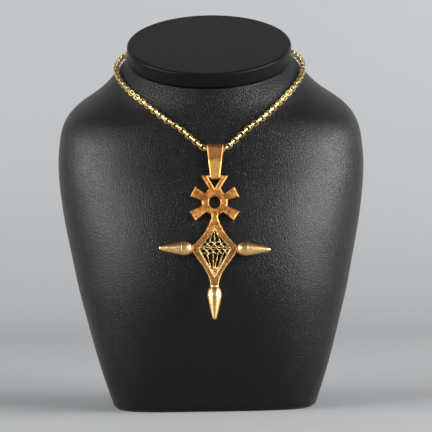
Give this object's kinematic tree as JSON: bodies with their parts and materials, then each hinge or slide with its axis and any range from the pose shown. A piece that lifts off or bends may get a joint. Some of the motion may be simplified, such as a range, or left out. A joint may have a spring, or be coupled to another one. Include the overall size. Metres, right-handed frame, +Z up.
{
  "type": "tuareg cross pendant on neck bust",
  "caption": "Folk cross pendant with a filigree window and spindle points, on a folded bail and an anchor chain round a slanted-top neck bust.",
  "frame": {"origin": "middle of the bust's flat underside", "axes": "the front faces -Y, +Z is up, +X is to the right as seen from the front"},
  "size_m": [0.1588, 0.1171, 0.2032],
  "materials": {
    "leatherette": "black grained leatherette with a broad sheen",
    "cap_leatherette": "black leatherette, smoother and more matt",
    "chain_gold": "polished pale yellow gold",
    "bail_gold": "satin gold with polished bevels",
    "cross_gold": "satin orange gold with polished edges and spindles"
  },
  "bodies": {
    "stand": {"bust_body": "leatherette", "neck_cap": "cap_leatherette", "chain_left": "chain_gold", "chain_right": "chain_gold", "clasp": "chain_gold"},
    "bail": {"bail": "bail_gold"},
    "cross": {"cross": "cross_gold"}
  },
  "joints": [
    {"name": "bail_swing", "type": "hinge", "parent": "stand", "child": "bail", "pos_m": [0.0022, -0.05162, 0.13346], "axis": [-0.9998, 0.0044, 0.0169], "range_deg": [0, 90]},
    {"name": "cross_swing", "type": "hinge", "parent": "bail", "child": "cross", "pos_m": [0.00176, -0.05506, 0.12021], "axis": [-0.9998, 0.0044, 0.0169], "range_deg": [0, 80]}
  ]
}
